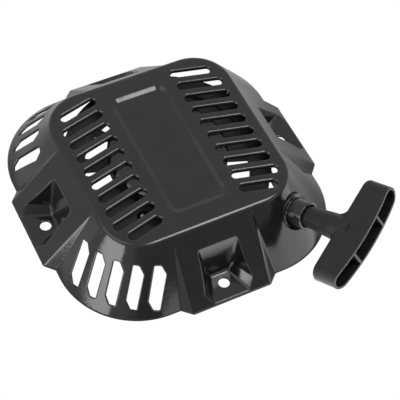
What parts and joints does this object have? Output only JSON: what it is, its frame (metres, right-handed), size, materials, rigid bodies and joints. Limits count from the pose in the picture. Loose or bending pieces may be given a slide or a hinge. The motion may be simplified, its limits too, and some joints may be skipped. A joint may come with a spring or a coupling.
{
  "type": "recoil starter",
  "caption": "Pressed-steel recoil starter with slotted square bell, four bolt-down pads, rope reel with pawls, and T handle.",
  "frame": {"origin": "centre of the four mounting holes, on the face that bolts to the engine", "axes": "+Z along the crankshaft, away from the engine; -X, +X, -Y and +Y each point at a mounting hole; the rope leaves between +X and -Y"},
  "size_m": [0.2418, 0.2708, 0.0707],
  "materials": {
    "housing_paint": "glossy black stove enamel on pressed steel",
    "guide_steel": "black eyelet, worn smooth",
    "grip_plastic": "moulded black plastic, fine grain",
    "reel_plastic": "moulded black glass-filled nylon",
    "bright_steel": "turned steel",
    "zinc_steel": "zinc plated",
    "spring_steel": "oiled blue spring steel",
    "pawl_steel": "hardened steel",
    "bronze": "sintered bronze",
    "rope": "braided nylon rope"
  },
  "bodies": {
    "case": {"housing": "housing_paint", "center_post": "bright_steel", "spring_case": "housing_paint", "recoil_spring": "spring_steel", "top_washer": "bright_steel", "rope_guide": "guide_steel", "rope_lead": "rope", "retainer_washer": "zinc_steel", "center_screw": "zinc_steel"},
    "reel": {"reel": "reel_plastic", "reel_bush": "bronze", "reel_knot": "rope", "rope_coil": "rope", "pawl_pins": "bright_steel", "pawl_spring_a": "spring_steel", "pawl_spring_b": "spring_steel"},
    "friction_plate": {"pawl_guide": "zinc_steel", "friction_spring": "spring_steel"},
    "pawl_a": {"pawl_a": "pawl_steel"},
    "pawl_b": {"pawl_b": "pawl_steel"},
    "handle": {"handle_grip": "grip_plastic", "rope_tail": "rope", "handle_knot": "rope", "knot_washer": "bright_steel"}
  },
  "joints": [
    {"name": "handle_pull", "type": "slide", "parent": "case", "child": "handle", "axis": [0.3762, -0.8485, 0.3722], "range_m": [0, 0.9], "stiffness_N_per_m": 20, "springref_m": -0.5},
    {"name": "reel_spin", "type": "hinge", "parent": "case", "child": "reel", "pos_m": [0, 0, 0.0245], "axis": [0, 0, 1], "range_deg": [-753.7, 2]},
    {"name": "plate_turn", "type": "hinge", "parent": "reel", "child": "friction_plate", "pos_m": [0, 0, 0.0092], "axis": [0, 0, 1], "range_deg": [0, 20], "stiffness_Nm_per_rad": 0.05, "springref_deg": -17.19},
    {"name": "pawl_a_swing", "type": "hinge", "parent": "reel", "child": "pawl_a", "pos_m": [0.00621, 0.02318, 0.0127], "axis": [0, 0, 1], "range_deg": [-1, 25]},
    {"name": "pawl_b_swing", "type": "hinge", "parent": "reel", "child": "pawl_b", "pos_m": [-0.00621, -0.02318, 0.0127], "axis": [0, 0, 1], "range_deg": [-1, 25]}
  ],
  "couplings": [
    {"joint": "reel_spin", "follows": "handle_pull", "rad_per_m": -14.577},
    {"joint": "pawl_a_swing", "follows": "plate_turn", "ratio": 1.2},
    {"joint": "pawl_b_swing", "follows": "plate_turn", "ratio": 1.2}
  ]
}
